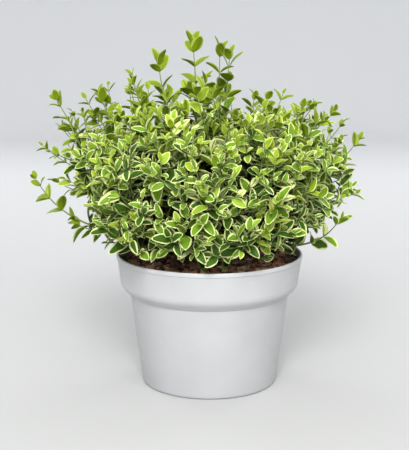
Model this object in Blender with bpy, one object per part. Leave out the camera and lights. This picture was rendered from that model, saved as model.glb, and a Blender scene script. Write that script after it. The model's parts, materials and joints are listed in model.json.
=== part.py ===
"""Wintercreeper euonymus, a young variegated evergreen shrub in its nursery pot.

The shrub is many thin limbs that fan out of one short woody foot. Each limb is a bough, bare
near the foot, and then a mass of foliage: the same limb carried on as a stem to its tip, with side
twigs and pairs of leaves that grow by one rule. Sizes are in metres, +Z is up, the pot stands on
z = 0 with its axis on Z, and the front of the plant faces -Y.
"""

import math
import random

import bmesh
import bpy
import numpy as np
from mathutils import Matrix, Vector

# The pot, a thin-walled round one with a wide collar.
POT_HEIGHT = 0.120
RIM_RADIUS = 0.085
COLLAR_FOOT_RADIUS = 0.0816
COLLAR_HEIGHT = 0.026
COLLAR_STEP = 0.0105
BODY_TOP_RADIUS = 0.0727
BASE_RADIUS = 0.0622
BASE_ROUNDING = 0.003
WALL = 0.0016
RIM_WALL = 0.0024
POT_SIDES = 36
DRAIN_HOLES = 4
DRAIN_HOLE_RADIUS = 0.005
DRAIN_RING_RADIUS = 0.046

# The root ball that fills the pot to a little under its rim.
SOIL_EDGE_HEIGHT = 0.1105
SOIL_HEIGHT = 0.1125
SOIL_FLAT_RADIUS = 0.024
GAP = 0.0003

# The foot, a stub with a rounded head that the limbs leave.
FOOT_HEAD_RADIUS = 0.012
FOOT_HEAD_HEIGHT = 0.1245
FOOT_FLARE_RADIUS = 0.0175
FOOT_SIDES = 20

# The limbs, ring by ring. A ring's elevation is where on the foot's head its limbs start.
RING_ELEVATION = {"crest": 72, "crown": 47, "wing": 22, "skirt": -5}
BOUGH_RADIUS = {"crest": 0.0019, "crown": 0.0019, "wing": 0.0018, "skirt": 0.0017}
BOUGH_LENGTH = {"crest": 0.040, "crown": 0.038, "wing": 0.036, "skirt": 0.040}
TIP_LEAN = {"crest": 0.12, "crown": 0.35, "wing": 0.75, "skirt": 1.30}
STEEP_TIPS = {"skirt_left": 0.60, "skirt_right": 0.70, "wing_left": 0.55}
HEADING_LIFT = {"crest": 0.10, "crown": 0.10, "wing": 0.12, "skirt": 0.36}
OUTWARD_PULL = 0.42
UPWARD_PULL = 0.36
TIP_LEAF_REACH = 0.015
STEM_TIP_RADIUS = 0.00055
BOUGH_TAPER = 0.80
PATH_STEPS = 48
BOUGH_SIDES = 5
BOUGH_STEPS = 4
STEM_STEP = 0.020

# Limbs whose tips stand out of the crown: ring, and the tip's place.
STANDING_TIPS = {
    "crest_twin": ("crest", (-0.016, 0.010, 0.318)),
    "crest_back": ("crest", (0.010, 0.030, 0.313)),
    "crest_front": ("crest", (0.018, -0.020, 0.306)),
    "crest_left": ("crest", (-0.046, -0.010, 0.302)),
    "crown_left": ("crown", (-0.068, -0.030, 0.282)),
    "crown_far_left": ("crown", (-0.102, 0.020, 0.270)),
    "crown_right": ("crown", (0.054, 0.010, 0.266)),
    "crown_far_right": ("crown", (0.088, 0.035, 0.256)),
    "wing_left": ("wing", (-0.140, 0.000, 0.266)),
    "wing_right": ("wing", (0.137, -0.012, 0.231)),
    "wing_near_right": ("wing", (0.101, -0.030, 0.252)),
    "skirt_left": ("skirt", (-0.158, -0.022, 0.198)),
    "skirt_right": ("skirt", (0.119, -0.042, 0.166)),
}

# Limbs spread round the rest of the crown: ring, tip radius, tip height, and bearings in degrees
# from +X towards +Y.
SPREAD_TIPS = {
    "brow": ("crown", 0.078, 0.250, (-112, -56, 95)),
    "shoulder": ("wing", 0.122, 0.210, (-132, -90, -48, 62, 118)),
    "skirt": ("skirt", 0.118, 0.168, (-140, -106, -72, 25, 65, 102, 145)),
}
TIP_SCATTER = 0.006

# The dome that the dense foliage fills. Only limbs' tips and upright shoots stand out of it.
DOME_RADIUS = 0.142
DOME_FOOT_RADIUS = 0.092
DOME_FULL_HEIGHT = 0.195
DOME_RISE = 0.128
DOME_POWER = 3
TWIG_REACH = 0.93
UPRIGHT_REACH = 1.15

# How a stem is furnished. Its uppermost twig is an upright one.
NODE_SPACING = 0.028
TWIG_NODE_SPACING = 0.0250
STANDING_BARE_TOP = {"crest": 0.064, "crown": 0.050, "wing": 0.050, "skirt": 0.080}
SPREAD_BARE_TOP = 0.034
TWIG_SPREAD = 54
TWIG_LENGTHS = (0.036, 0.068)
UPRIGHT_SPREAD = 24
UPRIGHT_LENGTHS = (0.034, 0.046)
TWIG_RADIUS = 0.0009
TWIG_TIP_RADIUS = 0.0005
TWIG_RISE = 0.45
TWIG_STEPS = 2
LEAF_LENGTH = 0.036
LEAF_WIDTH = 0.62
LEAF_THICKNESS = 0.035
LEAF_WIDEST = 0.45
LEAF_SPREAD = 58
TIP_LEAF_SPREAD = 24
LEAF_ROLL = 32
LEAF_SUNK = 0.0003
YOUNG_SCALES = (0.62, 0.80, 0.92)
LEAF_FITS = (1.0, 0.72)

# The room that a mass keeps between its leaves and what isn't its own.
MASS_CLEARANCE = 0.0012
LIMB_CLEARANCE = 0.0030
POT_CLEARANCE = 0.0030
LOWEST_LEAF = 0.120

POT_GREY = (0.56, 0.56, 0.60, 1.0)
SOIL_BROWN = (0.075, 0.045, 0.028, 1.0)
BARK_GREEN = (0.19, 0.20, 0.09, 1.0)
FOLIAGE_GREEN = (0.20, 0.36, 0.06, 1.0)


def clear_scene():
    for thing in list(bpy.data.objects):
        bpy.data.objects.remove(thing, do_unlink=True)


def material(name, colour, roughness):
    made = bpy.data.materials.new(name)
    made.use_nodes = True
    shader = made.node_tree.nodes["Principled BSDF"]
    shader.inputs["Base Color"].default_value = colour
    shader.inputs["Roughness"].default_value = roughness
    shader.inputs["Metallic"].default_value = 0.0
    made.diffuse_color = colour
    return made


def mesh_object(name, shape, finish, collection=None):
    """An object from (vertices, faces), in the scene unless another collection is given."""
    vertices, faces = shape
    mesh = bpy.data.meshes.new(name)
    mesh.from_pydata([tuple(v) for v in vertices], [], faces)
    mesh.materials.append(finish)
    made = bpy.data.objects.new(name, mesh)
    (collection or bpy.context.scene.collection).objects.link(made)
    return made


def turned(name, profile, sides, finish):
    """A solid of revolution about Z from a profile of (radius, height), top outside to axis."""
    shape = bmesh.new()
    ring = [shape.verts.new((radius, 0.0, height)) for radius, height in profile]
    edges = [shape.edges.new(pair) for pair in zip(ring, ring[1:])]
    bmesh.ops.spin(
        shape,
        geom=ring + edges,
        cent=(0, 0, 0),
        axis=(0, 0, 1),
        angle=2 * math.pi,
        steps=sides,
        use_merge=True,
    )
    bmesh.ops.remove_doubles(shape, verts=shape.verts, dist=1e-6)
    bmesh.ops.recalc_face_normals(shape, faces=shape.faces)
    mesh = bpy.data.meshes.new(name)
    shape.to_mesh(mesh)
    shape.free()
    mesh.materials.append(finish)
    mesh.shade_smooth()
    mesh.set_sharp_from_angle(angle=math.radians(35))
    made = bpy.data.objects.new(name, mesh)
    bpy.context.scene.collection.objects.link(made)
    return made


def pot_outside():
    """The pot's outer line from its base up to its rim, as (radius, height)."""
    collar_foot = POT_HEIGHT - COLLAR_HEIGHT
    return [
        (BASE_RADIUS - BASE_ROUNDING, 0.0),
        (BASE_RADIUS, BASE_ROUNDING),
        (BODY_TOP_RADIUS, collar_foot - COLLAR_STEP),
        (BODY_TOP_RADIUS + 0.72 * (COLLAR_FOOT_RADIUS - BODY_TOP_RADIUS), collar_foot - 0.45 * COLLAR_STEP),
        (COLLAR_FOOT_RADIUS, collar_foot + 0.2 * COLLAR_STEP),
        (RIM_RADIUS, POT_HEIGHT - RIM_WALL / 2),
        (RIM_RADIUS - RIM_WALL / 3, POT_HEIGHT),
    ]


def pot_inside():
    """The pot's inner line from its rim down to its floor, a wall's thickness in from the outside."""
    outside = pot_outside()
    inner = [(radius - WALL, height + 0.3 * WALL) for radius, height in outside[2:5]]
    floor_radius = BASE_RADIUS - WALL
    return [
        (RIM_RADIUS - RIM_WALL, POT_HEIGHT),
        (RIM_RADIUS - RIM_WALL - 0.0004, POT_HEIGHT - 0.008),
        *reversed(inner),
        (floor_radius, WALL + BASE_ROUNDING / 2),
        (floor_radius - BASE_ROUNDING, WALL),
    ]


def make_pot(finish):
    profile = [(0.0, 0.0), *pot_outside(), *pot_inside(), (0.0, WALL)]
    pot = turned("pot", profile, POT_SIDES, finish)
    cutter = bmesh.new()
    for hole in range(DRAIN_HOLES):
        bearing = 2 * math.pi * (hole + 0.5) / DRAIN_HOLES
        middle = Vector((math.cos(bearing), math.sin(bearing), 0)) * DRAIN_RING_RADIUS
        bmesh.ops.create_cone(
            cutter,
            cap_ends=True,
            segments=8,
            radius1=DRAIN_HOLE_RADIUS,
            radius2=DRAIN_HOLE_RADIUS,
            depth=6 * WALL,
            matrix=Matrix.Translation(middle),
        )
    mesh = bpy.data.meshes.new("drain_cutter")
    cutter.to_mesh(mesh)
    cutter.free()
    holes = bpy.data.objects.new("drain_cutter", mesh)
    bpy.context.scene.collection.objects.link(holes)
    holes.hide_render = True
    holes.display_type = "WIRE"
    drain = pot.modifiers.new("drain holes", "BOOLEAN")
    drain.operation = "DIFFERENCE"
    drain.object = holes
    return pot


def make_soil(finish):
    """The root ball: the pot's inside drawn in by the gap, up to the soil's low mound."""
    inside = [
        (radius - GAP, height + (GAP if radius < BASE_RADIUS - WALL else 0.0))
        for radius, height in pot_inside()
        if height < SOIL_EDGE_HEIGHT
    ]
    share = (SOIL_EDGE_HEIGHT - inside[0][1]) / (POT_HEIGHT - 0.008 - inside[0][1])
    edge_radius = inside[0][0] + share * (RIM_RADIUS - RIM_WALL - 0.0004 - GAP - inside[0][0])
    profile = [
        (0.0, SOIL_HEIGHT),
        (SOIL_FLAT_RADIUS, SOIL_HEIGHT),
        (0.6 * RIM_RADIUS, 0.5 * (SOIL_HEIGHT + SOIL_EDGE_HEIGHT)),
        (edge_radius, SOIL_EDGE_HEIGHT),
        *inside,
        (0.0, WALL + GAP),
    ]
    return turned("root_ball", profile, POT_SIDES, finish)


def make_foot(finish):
    """The stub: a flat cut on the soil, a flare, and a round head."""
    cut = SOIL_HEIGHT + GAP
    head = [
        (
            FOOT_HEAD_RADIUS * math.cos(math.radians(angle)),
            FOOT_HEAD_HEIGHT + FOOT_HEAD_RADIUS * math.sin(math.radians(angle)),
        )
        for angle in (-24, -8, 8, 24, 40, 56, 72)
    ]
    profile = [
        (0.0, cut),
        (FOOT_FLARE_RADIUS, cut),
        (0.82 * FOOT_FLARE_RADIUS, cut + 0.0022),
        *head,
        (0.0, FOOT_HEAD_HEIGHT + FOOT_HEAD_RADIUS),
    ]
    return turned("foot", profile, FOOT_SIDES, finish)


def leader_tips():
    """Each limb's name, ring and tip, the standing ones first."""
    tips = [(name, ring, Vector(tip)) for name, (ring, tip) in STANDING_TIPS.items()]
    for name, (ring, radius, height, bearings) in SPREAD_TIPS.items():
        for number, bearing in enumerate(bearings, 1):
            chance = random.Random(f"{name}_{number}")
            angle = math.radians(bearing)
            tip = Vector((radius * math.cos(angle), radius * math.sin(angle), height))
            tip += Vector([chance.uniform(-1, 1) for _ in range(3)]) * TIP_SCATTER
            tips.append((f"{name}_{number}", ring, tip))
    return tips


def bearing_of(point):
    return math.atan2(point.y, point.x)


def root_bearings(tips):
    """Where round the foot each limb starts: evenly in its ring, in the order of the tips."""
    starts = {}
    for ring in RING_ELEVATION:
        members = sorted(
            (bearing_of(tip), name) for name, its_ring, tip in tips if its_ring == ring
        )
        step = 2 * math.pi / len(members)
        turn = sum(bearing - k * step for k, (bearing, _) in enumerate(members)) / len(members)
        for k, (_, name) in enumerate(members):
            starts[name] = turn + k * step
    return starts


def limb_path(name, ring, start_bearing, tip):
    """Points of one limb from the foot's head to its tip, on one cubic curve."""
    rise = math.radians(RING_ELEVATION[ring])
    out = Vector(
        (
            math.cos(rise) * math.cos(start_bearing),
            math.cos(rise) * math.sin(start_bearing),
            math.sin(rise),
        )
    )
    root = Vector((0, 0, FOOT_HEAD_HEIGHT)) + out * (FOOT_HEAD_RADIUS + GAP)
    heading = (out + Vector((0, 0, HEADING_LIFT[ring]))).normalized()
    outward = Vector((tip.x, tip.y, 0)).normalized()
    ending = (outward * STEEP_TIPS.get(name, TIP_LEAN[ring]) + Vector((0, 0, 1))).normalized()
    end = tip - ending * TIP_LEAF_REACH
    reach = (end - root).length
    knots = (root, root + heading * reach * OUTWARD_PULL, end - ending * reach * UPWARD_PULL, end)
    return [cubic(knots, step / PATH_STEPS) for step in range(PATH_STEPS + 1)]


def cubic(knots, t):
    a, b, c, d = knots
    u = 1 - t
    return a * u**3 + b * 3 * u * u * t + c * 3 * u * t * t + d * t**3


def lengths_along(path):
    """How far along the path each of its points lies."""
    total = [0.0]
    for a, b in zip(path, path[1:]):
        total.append(total[-1] + (b - a).length)
    return total


def point_at(path, along, distance):
    """The point at this distance along the path, and the path's direction there."""
    for k in range(len(path) - 1):
        if along[k + 1] >= distance or k == len(path) - 2:
            step = path[k + 1] - path[k]
            share = (distance - along[k]) / (along[k + 1] - along[k])
            return path[k] + step * share, step.normalized()


def stretch(path, start, end, count):
    """Points at even distances along part of the path."""
    along = lengths_along(path)
    return [point_at(path, along, start + (end - start) * k / count)[0] for k in range(count + 1)]


def square_to(direction, hint):
    """The unit vector nearest the hint that is square to the direction."""
    side = hint - direction * hint.dot(direction)
    if side.length < 1e-6:
        side = direction.orthogonal()
    return side.normalized()


def tube(points, radii, sides):
    """A closed tapering tube through the points, as (vertices, faces)."""
    vertices, faces = [], []
    side = None
    for k, (point, radius) in enumerate(zip(points, radii)):
        after, before = points[min(k + 1, len(points) - 1)], points[max(k - 1, 0)]
        direction = (after - before).normalized()
        side = square_to(direction, side or Vector((0.3, 0.2, 1.0)))
        other = direction.cross(side)
        for n in range(sides):
            angle = 2 * math.pi * n / sides
            vertices.append(point + (side * math.cos(angle) + other * math.sin(angle)) * radius)
    for k in range(len(points) - 1):
        for n in range(sides):
            a, b = k * sides + n, k * sides + (n + 1) % sides
            faces.append((a, b, b + sides, a + sides))
    faces.append(tuple(reversed(range(sides))))
    last = (len(points) - 1) * sides
    faces.append(tuple(range(last, last + sides)))
    return vertices, faces


def leaf_blade(root, direction, normal, length):
    """A leaf of eight faces, widest before its middle, as (vertices, faces)."""
    across = direction.cross(normal).normalized()
    middle = root + direction * length * LEAF_WIDEST
    half_width = across * length * LEAF_WIDTH / 2
    half_thick = normal * length * LEAF_THICKNESS / 2
    vertices = [
        root,
        root + direction * length,
        middle - half_width,
        middle + half_width,
        middle + half_thick,
        middle - half_thick,
    ]
    faces = [(0, 2, 4), (2, 1, 4), (1, 3, 4), (3, 0, 4), (2, 0, 5), (1, 2, 5), (3, 1, 5), (0, 3, 5)]
    return vertices, faces


def leaf_samples(root, direction, normal, length):
    """Points over a leaf, to test what it would touch."""
    across = direction.cross(normal).normalized()
    places = [(0.22, 0.5), (LEAF_WIDEST, 1.0), (0.72, 0.5), (1.0, 0.0)]
    found = []
    for along, width in places:
        for side in (-1, 0, 1):
            offset = across * side * width * length * LEAF_WIDTH / 2
            found.append(root + direction * along * length + offset)
    return found


class Crown:
    """All the limbs, and what part of the space round them each mass keeps to."""

    def __init__(self):
        tips = leader_tips()
        starts = root_bearings(tips)
        self.limbs = {}
        for name, ring, tip in tips:
            path = limb_path(name, ring, starts[name], tip)
            self.limbs[name] = {"ring": ring, "path": path, "length": lengths_along(path)[-1]}
        self.names = list(self.limbs)
        axes = [stretch(self.limbs[n]["path"], 0.0, self.limbs[n]["length"], PATH_STEPS) for n in self.names]
        self.axis_points = np.array([tuple(p) for axis in axes for p in axis])
        self.axis_owner = np.repeat(np.arange(len(axes)), PATH_STEPS + 1)
        boughs = [self.bough_points(n) for n in self.names]
        self.bough_points_all = np.array([tuple(p) for line in boughs for p in line])

    def bough_points(self, name):
        limb = self.limbs[name]
        return stretch(limb["path"], 0.0, BOUGH_LENGTH[limb["ring"]], 10)

    def keeps(self, name, points):
        """True if all the points lie in this mass's own space, clear of limbs and pot."""
        own = self.names.index(name)
        spots = np.array([tuple(p) for p in points])
        reach = np.linalg.norm(spots[:, None, :] - self.axis_points[None, :, :], axis=2)
        mine = reach[:, self.axis_owner == own].min(axis=1)
        others = reach[:, self.axis_owner != own].min(axis=1)
        if (others - mine < 2 * MASS_CLEARANCE).any():
            return False
        to_boughs = np.linalg.norm(spots[:, None, :] - self.bough_points_all[None, :, :], axis=2)
        if to_boughs.min() < BOUGH_RADIUS["crest"] + LIMB_CLEARANCE:
            return False
        return all(clear_of_pot(p) for p in points)


def clear_of_pot(point):
    radius = math.hypot(point.x, point.y)
    if radius < RIM_RADIUS + POT_CLEARANCE:
        low = POT_HEIGHT if radius > RIM_RADIUS - 0.012 else SOIL_HEIGHT
        return point.z > low + POT_CLEARANCE
    return point.z > LOWEST_LEAF


def pair_of_leaves(point, direction, turn, scale, spread, chance):
    """Two opposite leaves at one node, turned to the light, as (root, direction, normal, length)."""
    light = direction * 0.5 + (point - Vector((0, 0, POT_HEIGHT))).normalized() * 0.3 + Vector((0, 0, 0.35))
    first = square_to(direction, Vector((math.cos(turn), math.sin(turn), 0.21)))
    second = direction.cross(first)
    side = first * math.cos(turn) + second * math.sin(turn)
    pair = []
    for sign in (1, -1):
        away = side * sign
        angle = math.radians(spread)
        pointing = (direction * math.cos(angle) + away * math.sin(angle)).normalized()
        roll = Matrix.Rotation(math.radians(chance.uniform(-LEAF_ROLL, LEAF_ROLL)), 3, pointing)
        normal = roll @ square_to(pointing, light)
        root = point - away * LEAF_SUNK - pointing * LEAF_SUNK
        pair.append((root, pointing, normal, LEAF_LENGTH * scale))
    return pair


def leaves_along(path, start, spacing, chance):
    """The pairs of leaves of one stem or twig, from its tip back to start."""
    along = lengths_along(path)
    whole = along[-1]
    turn = chance.uniform(0, math.pi)
    pairs = []
    distance, number = whole - 0.0012, 0
    while distance > start:
        point, direction = point_at(path, along, distance)
        young = YOUNG_SCALES[number] if number < len(YOUNG_SCALES) else 1.0
        share = min(1.0, number / 2)
        spread = TIP_LEAF_SPREAD + (LEAF_SPREAD - TIP_LEAF_SPREAD) * share + chance.uniform(-8, 8)
        scale = young * chance.uniform(0.86, 1.10)
        pairs.append(pair_of_leaves(point, direction, turn + number * math.pi / 2, scale, spread, chance))
        distance -= spacing * (0.62 if number == 0 else chance.uniform(0.85, 1.15))
        number += 1
    return pairs


def bare_top(name, ring):
    """How much of a limb's top has leaves but no twigs."""
    return STANDING_BARE_TOP[ring] if name in STANDING_TIPS else SPREAD_BARE_TOP


def dome_share(point):
    """How far out in the dome a point lies: 0 in the middle of the pot's rim, 1 on the dome."""
    widened = min(1.0, max(0.0, point.z - POT_HEIGHT) / (DOME_FULL_HEIGHT - POT_HEIGHT))
    out = math.hypot(point.x, point.y) / (DOME_FOOT_RADIUS + (DOME_RADIUS - DOME_FOOT_RADIUS) * widened)
    up = max(0.0, point.z - POT_HEIGHT) / DOME_RISE
    return (out**DOME_POWER + up**DOME_POWER) ** (1 / DOME_POWER)


def twig_path(point, direction, turn, spread, length, chance):
    """A side twig that leaves its stem at an angle and bends up towards the light."""
    first = square_to(direction, Vector((0.21, 0.33, 0.9)))
    second = direction.cross(first)
    side = first * math.cos(turn) + second * math.sin(turn)
    angle = math.radians(spread + chance.uniform(-8, 8))
    heading = (direction * math.cos(angle) + side * math.sin(angle)).normalized()
    ending = (heading + Vector((0, 0, TWIG_RISE * 2))).normalized()
    knots = (
        point,
        point + heading * length * 0.35,
        point + heading * length * 0.55 + ending * length * 0.12,
        point + heading * length * 0.60 + ending * length * 0.42,
    )
    return [cubic(knots, step / 6) for step in range(7)]


def trimmed(path, crown, name, reach):
    """The part of a twig's path that stays in its mass's own space, and within its reach in the dome."""
    kept = path[:1]
    for point in path[1:]:
        if dome_share(point) > reach or not crown.keeps(name, [point]):
            break
        kept.append(point)
    return kept


def mass_pieces(crown, name):
    """The stem of one mass, and the twigs and leaves that are fused to it."""
    limb = crown.limbs[name]
    ring, path, length = limb["ring"], limb["path"], limb["length"]
    chance = random.Random(name)
    start = BOUGH_LENGTH[ring] + GAP
    along = lengths_along(path)
    segments = round((length - start) / STEM_STEP)
    stem_points = stretch(path, start, length, segments)
    thick = BOUGH_RADIUS[ring] * BOUGH_TAPER * 0.95
    radii = [thick + (STEM_TIP_RADIUS - thick) * k / segments for k in range(segments + 1)]
    twigs = []
    distance, turn = length - bare_top(name, ring), chance.uniform(0, math.pi)
    while distance > start + 0.012:
        point, direction = point_at(path, along, distance)
        spread, lengths, reach = (
            (TWIG_SPREAD, TWIG_LENGTHS, TWIG_REACH)
            if twigs
            else (UPRIGHT_SPREAD, UPRIGHT_LENGTHS, UPRIGHT_REACH)
        )
        for _ in range(3):
            wanted = chance.uniform(*lengths)
            twig = trimmed(twig_path(point, direction, turn, spread, wanted, chance), crown, name, reach)
            turn += math.radians(137.5)
            if lengths_along(twig)[-1] > 0.014:
                twigs.append(twig)
                break
        distance -= NODE_SPACING * chance.uniform(0.8, 1.1)
    chance = random.Random(f"{name} leaves")
    pairs = leaves_along(path, start + 0.010, NODE_SPACING, chance)
    for twig in twigs:
        pairs += leaves_along(twig, 0.009, TWIG_NODE_SPACING, chance)
    leaves = [fitted for pair in pairs for leaf in pair if (fitted := fitted_leaf(crown, name, leaf))]
    taper = [TWIG_RADIUS + (TWIG_TIP_RADIUS - TWIG_RADIUS) * k / TWIG_STEPS for k in range(TWIG_STEPS + 1)]
    pieces = [tube(stem_points, radii, 3)]
    pieces += [tube(stretch(twig, 0.0, lengths_along(twig)[-1], TWIG_STEPS), taper, 3) for twig in twigs]
    pieces += [leaf_blade(*leaf) for leaf in leaves]
    return pieces


def fitted_leaf(crown, name, leaf):
    """The leaf at the largest size that stays in its mass's own space, or None."""
    root, direction, normal, length = leaf
    for size in LEAF_FITS:
        if crown.keeps(name, leaf_samples(root, direction, normal, length * size)):
            return root, direction, normal, length * size
    return None


def largest_body(mesh):
    """Keeps the mesh's largest connected body, which drops scraps and sealed hollows."""
    shape = bmesh.new()
    shape.from_mesh(mesh)
    bmesh.ops.triangulate(shape, faces=shape.faces)
    unseen, bodies = set(shape.faces), []
    while unseen:
        body, edge_of_search = [], [unseen.pop()]
        while edge_of_search:
            face = edge_of_search.pop()
            body.append(face)
            for edge in face.edges:
                for neighbour in edge.link_faces:
                    if neighbour in unseen:
                        unseen.remove(neighbour)
                        edge_of_search.append(neighbour)
        volume = sum(f.verts[0].co.dot(f.verts[1].co.cross(f.verts[2].co)) for f in body) / 6
        bodies.append((volume, body))
    keep = set(max(bodies, key=lambda entry: entry[0])[1])
    bmesh.ops.delete(shape, geom=[f for f in shape.faces if f not in keep], context="FACES")
    whole = all(edge.is_manifold for edge in shape.edges)
    shape.to_mesh(mesh)
    shape.free()
    return whole


def fuse(name, pieces, finish):
    """One closed body from overlapping pieces, by a Boolean union on a collection."""
    for solver in ("EXACT", "MANIFOLD"):
        others = bpy.data.collections.new(f"{name}_pieces")
        bpy.context.scene.collection.children.link(others)
        body = mesh_object(name, pieces[0], finish)
        for number, piece in enumerate(pieces[1:]):
            mesh_object(f"{name}_piece_{number}", piece, finish, others)
        union = body.modifiers.new("union", "BOOLEAN")
        union.operation = "UNION"
        union.operand_type = "COLLECTION"
        union.solver = solver
        union.collection = others
        graph = bpy.context.evaluated_depsgraph_get()
        fused = bpy.data.meshes.new_from_object(body.evaluated_get(graph))
        body.modifiers.clear()
        body.data = fused
        for piece in list(others.objects):
            bpy.data.objects.remove(piece, do_unlink=True)
        bpy.data.collections.remove(others)
        if largest_body(fused):
            return body
        bpy.data.objects.remove(body, do_unlink=True)
    return fuse(name, pieces[: max(2, len(pieces) * 3 // 4)], finish)


def make_bough(crown, name, finish):
    """The bare part of a limb, from the foot, whose round head its end is fitted to, to its mass."""
    ring = crown.limbs[name]["ring"]
    points = stretch(crown.limbs[name]["path"], 0.0, BOUGH_LENGTH[ring], BOUGH_STEPS)
    thinning = (1 - BOUGH_TAPER) / BOUGH_STEPS
    radii = [BOUGH_RADIUS[ring] * (1 - thinning * k) for k in range(BOUGH_STEPS + 1)]
    vertices, faces = tube(points, radii, BOUGH_SIDES)
    centre = Vector((0, 0, FOOT_HEAD_HEIGHT))
    for corner in range(BOUGH_SIDES):
        vertices[corner] = centre + (vertices[corner] - centre).normalized() * (FOOT_HEAD_RADIUS + GAP)
    return mesh_object(f"bough_{name}", (vertices, faces), finish)


def main():
    clear_scene()
    pot_plastic = material("pot plastic", POT_GREY, 0.42)
    compost = material("compost", SOIL_BROWN, 0.95)
    bark = material("bark", BARK_GREEN, 0.75)
    foliage = material("foliage", FOLIAGE_GREEN, 0.5)
    make_pot(pot_plastic)
    make_soil(compost)
    make_foot(bark)
    crown = Crown()
    for name in crown.names:
        make_bough(crown, name, bark)
    for name in crown.names:
        fuse(f"mass_{name}", mass_pieces(crown, name), foliage)


main()
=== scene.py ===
"""Wintercreeper euonymus in its nursery pot, dressed for a soft studio.

The limbs, stems and twigs follow the same named sizes and seeded rule as the solids that they
replace, and are carried on here to finer twigs and life-size leaves. Metres, +Z up, the pot's
axis on Z, the front of the plant towards -Y.
"""

import json
import random
from itertools import accumulate, product, takewhile
from math import atan2, cos, floor, hypot, pi, radians, sin, sqrt

import bpy
import numpy as np
from mathutils import Matrix, Vector, noise

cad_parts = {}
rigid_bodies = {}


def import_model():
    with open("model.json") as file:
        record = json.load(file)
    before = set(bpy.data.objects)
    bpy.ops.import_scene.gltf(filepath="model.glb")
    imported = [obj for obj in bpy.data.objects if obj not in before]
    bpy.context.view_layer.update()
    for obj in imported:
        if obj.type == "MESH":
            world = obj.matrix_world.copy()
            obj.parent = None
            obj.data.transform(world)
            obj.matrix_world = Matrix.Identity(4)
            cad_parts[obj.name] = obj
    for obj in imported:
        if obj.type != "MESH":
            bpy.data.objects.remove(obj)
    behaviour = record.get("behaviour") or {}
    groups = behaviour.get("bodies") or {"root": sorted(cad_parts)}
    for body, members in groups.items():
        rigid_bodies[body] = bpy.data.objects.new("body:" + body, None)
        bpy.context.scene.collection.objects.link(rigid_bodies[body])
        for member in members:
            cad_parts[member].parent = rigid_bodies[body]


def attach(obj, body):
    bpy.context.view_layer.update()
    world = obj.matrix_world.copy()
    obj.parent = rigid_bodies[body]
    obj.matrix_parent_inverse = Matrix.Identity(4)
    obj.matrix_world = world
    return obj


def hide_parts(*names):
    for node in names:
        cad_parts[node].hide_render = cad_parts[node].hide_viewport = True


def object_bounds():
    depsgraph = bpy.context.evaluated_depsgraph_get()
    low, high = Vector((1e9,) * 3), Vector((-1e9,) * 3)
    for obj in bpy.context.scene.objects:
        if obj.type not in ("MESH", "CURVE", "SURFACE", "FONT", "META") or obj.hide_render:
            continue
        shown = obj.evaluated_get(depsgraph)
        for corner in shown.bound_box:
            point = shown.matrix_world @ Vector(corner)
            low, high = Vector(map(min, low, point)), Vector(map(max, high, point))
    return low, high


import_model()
CAD_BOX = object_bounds()


def by_ring(*values):
    """One value for each ring of limbs, from the crest down."""
    return dict(zip(("crest", "crown", "wing", "skirt"), values))


# The pot, a thin-walled round one with a wide collar.
POT_HEIGHT = 0.120
RIM_RADIUS = 0.085
COLLAR_FOOT_RADIUS = 0.0816
COLLAR_HEIGHT = 0.026
COLLAR_STEP = 0.0105
BODY_TOP_RADIUS = 0.0727
BASE_RADIUS = 0.0622
BASE_ROUNDING = 0.003
WALL = 0.0016
RIM_WALL = 0.0024
COLLAR_FOOT_HEIGHT = POT_HEIGHT - COLLAR_HEIGHT
INSIDE_RADIUS = RIM_RADIUS - RIM_WALL
BEVEL = 0.0004
BEVEL_ANGLE = 28
POT_SIDES = 96
DRAIN_HOLES = 4
DRAIN_HOLE_RADIUS = 0.005
DRAIN_RING_RADIUS = 0.046

# The compost that fills it, and the foot that the limbs leave.
SOIL_EDGE_HEIGHT = 0.1105
SOIL_HEIGHT = 0.1125
GAP = 0.0003
FOOT_HEAD_RADIUS = 0.012
FOOT_HEAD_HEIGHT = 0.1245
FOOT_FLARE_RADIUS = 0.0175

# The limbs, ring by ring, as in the solids.
RING_ELEVATION = by_ring(72, 47, 22, -5)
BOUGH_RADIUS = by_ring(0.0019, 0.0019, 0.0018, 0.0017)
BOUGH_LENGTH = by_ring(0.040, 0.038, 0.036, 0.040)
TIP_LEAN = by_ring(0.12, 0.35, 0.75, 1.30)
STEEP_TIPS = {"skirt_left": 0.60, "skirt_right": 0.70, "wing_left": 0.55}
HEADING_LIFT = by_ring(0.10, 0.10, 0.12, 0.36)
OUTWARD_PULL = 0.42
UPWARD_PULL = 0.36
TIP_LEAF_REACH = 0.015
BOUGH_TAPER = 0.80
BOUGH_STEPS = 28
BOUGH_SIDES = 10
PATH_STEPS = 48
STANDING_TIPS = {
    "crest_twin": (-0.016, 0.010, 0.318),
    "crest_back": (0.010, 0.030, 0.313),
    "crest_front": (0.018, -0.020, 0.306),
    "crest_left": (-0.046, -0.010, 0.302),
    "crown_left": (-0.068, -0.030, 0.282),
    "crown_far_left": (-0.102, 0.020, 0.270),
    "crown_right": (0.054, 0.010, 0.266),
    "crown_far_right": (0.088, 0.035, 0.256),
    "wing_left": (-0.140, 0.000, 0.266),
    "wing_right": (0.137, -0.012, 0.231),
    "wing_near_right": (0.101, -0.030, 0.252),
    "skirt_left": (-0.158, -0.022, 0.198),
    "skirt_right": (0.119, -0.042, 0.166),
}
SPREAD_TIPS = {
    "brow": ("crown", 0.078, 0.250, (-112, -56, 95)),
    "shoulder": ("wing", 0.122, 0.210, (-132, -90, -48, 62, 118)),
    "skirt": ("skirt", 0.118, 0.168, (-140, -106, -72, 25, 65, 102, 145)),
}
TIP_SCATTER = 0.006

# The dome that the dense foliage fills. Only limbs' tips and upright shoots stand out of it.
DOME_RADIUS = 0.142
DOME_FOOT_RADIUS = 0.092
DOME_FULL_HEIGHT = 0.195
DOME_RISE = 0.128
DOME_POWER = 3
TWIG_REACH = 0.93
UPRIGHT_REACH = 1.15

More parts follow.
